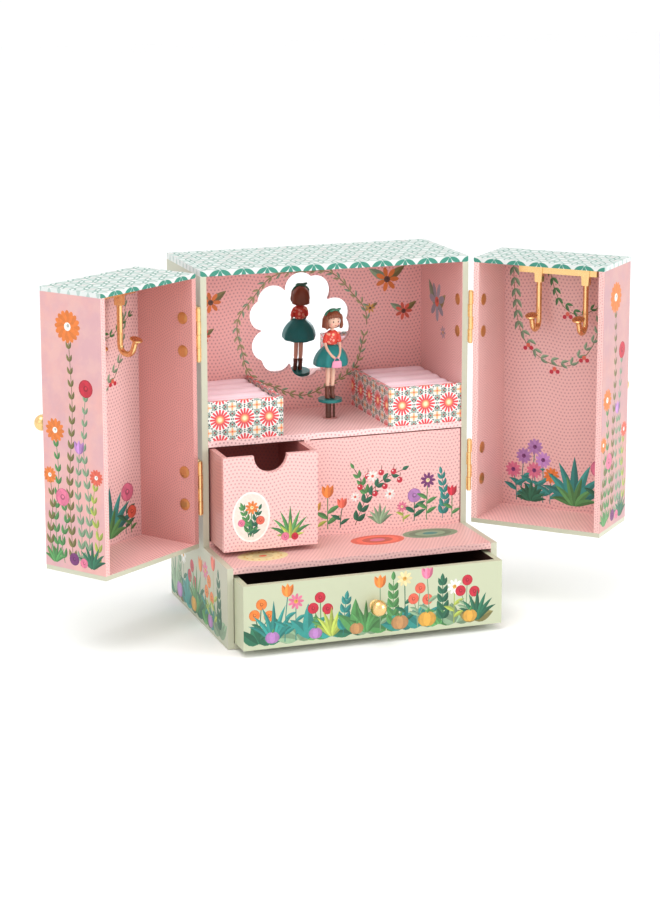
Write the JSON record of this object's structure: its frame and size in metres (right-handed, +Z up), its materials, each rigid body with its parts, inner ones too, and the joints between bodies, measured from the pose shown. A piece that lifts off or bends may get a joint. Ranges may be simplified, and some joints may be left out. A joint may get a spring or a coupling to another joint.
{
  "type": "musical jewellery cabinet",
  "caption": "paper-covered musical jewellery cabinet with two box doors, drawers, ring trays, necklace hooks, mirror and a turning doll",
  "frame": {"origin": "middle of the base's underside, where the cabinet stands", "axes": "+Z up, the doors open towards -Y, +X is the right-hand side seen from the front"},
  "size_m": [0.4585, 0.2045, 0.268],
  "materials": {
    "paper_pink": "greyboard covered in matt printed pink paper",
    "paper_cream": "greyboard covered in matt cream-green paper",
    "paper_mint": "greyboard covered in matt printed mint paper",
    "paper_white": "greyboard covered in matt white paper with a petal pattern",
    "paper_tile": "card covered in matt paper with a tile pattern",
    "plush": "foam rolls covered in short pink plush",
    "brass": "polished, lacquered",
    "steel": "ground",
    "zinc": "as cast zinc alloy",
    "mirror": "silvered plastic sheet",
    "doll_paint": "moulded plastic, hand painted",
    "dress_paint": "moulded plastic, hand painted"
  },
  "bodies": {
    "cabinet": {"left_side": "paper_cream", "right_side": "paper_cream", "bottom_board": "paper_cream", "deck_board": "paper_pink", "shelf_board": "paper_pink", "top_board": "paper_white", "back_board": "paper_cream", "divider": "paper_pink", "fixed_panel": "paper_pink", "drawer_sill": "paper_pink", "mirror_sheet": "mirror", "mirror_liner": "paper_pink", "left_tray_front": "paper_tile", "left_tray_side": "paper_tile", "right_tray_front": "paper_tile", "right_tray_side": "paper_tile", "left_cushion": "plush", "right_cushion": "plush", "cabinet_hinge_leaves": "brass", "cabinet_rivets": "brass", "hinge_pins": "brass", "bedplate": "zinc", "comb": "steel"},
    "left_door": {"left_door_panel": "paper_mint", "left_door_top": "paper_white", "left_door_bottom": "paper_cream", "left_door_hinge_wall": "paper_pink", "left_door_free_wall": "paper_pink", "left_door_leaves": "brass", "left_door_rivets": "brass", "left_door_knob": "brass", "left_hook_rail": "brass", "left_hooks": "brass"},
    "right_door": {"right_door_panel": "paper_mint", "right_door_top": "paper_white", "right_door_bottom": "paper_cream", "right_door_hinge_wall": "paper_pink", "right_door_free_wall": "paper_pink", "right_door_leaves": "brass", "right_door_rivets": "brass", "right_door_knob": "brass", "right_hook_rail": "brass", "right_hooks": "brass"},
    "small_drawer": {"small_drawer_front": "paper_pink", "small_drawer_sides": "paper_pink", "small_drawer_back": "paper_pink", "small_drawer_floor": "paper_pink"},
    "base_drawer": {"base_drawer_front": "paper_mint", "base_drawer_sides": "paper_mint", "base_drawer_back": "paper_mint", "base_drawer_floor": "paper_pink", "base_drawer_knob": "brass"},
    "spindle": {"pinned_cylinder": "brass", "doll_stand": "dress_paint", "doll_figure": "doll_paint", "doll_dress": "dress_paint"},
    "train": {"train_wheel": "brass"},
    "fan": {"governor": "steel"},
    "spring": {"spring_barrel": "brass", "winding_key": "brass"}
  },
  "joints": [
    {"name": "left_door_swing", "type": "hinge", "parent": "cabinet", "child": "left_door", "pos_m": [-0.10705, -0.0154, 0.16365], "axis": [0, 0, -1], "range_deg": [-145, 35]},
    {"name": "right_door_swing", "type": "hinge", "parent": "cabinet", "child": "right_door", "pos_m": [0.10705, -0.0154, 0.16365], "axis": [0, 0, 1], "range_deg": [-134, 46]},
    {"name": "small_drawer_slide", "type": "slide", "parent": "cabinet", "child": "small_drawer", "axis": [0, -1, 0], "range_m": [-0.032, 0.03]},
    {"name": "base_drawer_slide", "type": "slide", "parent": "cabinet", "child": "base_drawer", "axis": [0, -1, 0], "range_m": [-0.022, 0.09]},
    {"name": "doll_turn", "type": "hinge", "parent": "cabinet", "child": "spindle", "pos_m": [0.0105, 0.03063, 0.1405], "axis": [0, 0, 1], "continuous": true},
    {"name": "train_spin", "type": "hinge", "parent": "cabinet", "child": "train", "pos_m": [0.02194, 0.0253, 0.11], "axis": [0, 0, 1], "continuous": true},
    {"name": "fan_spin", "type": "hinge", "parent": "cabinet", "child": "fan", "pos_m": [0.03401, 0.02635, 0.11], "axis": [0, 0, 1], "continuous": true},
    {"name": "spring_turn", "type": "hinge", "parent": "cabinet", "child": "spring", "pos_m": [0.0105, 0.0725, 0.0824], "axis": [0, 1, 0], "continuous": true}
  ],
  "couplings": [
    {"joint": "train_spin", "follows": "doll_turn", "ratio": -4},
    {"joint": "fan_spin", "follows": "doll_turn", "ratio": 20},
    {"joint": "spring_turn", "follows": "doll_turn", "ratio": -0.33333}
  ]
}
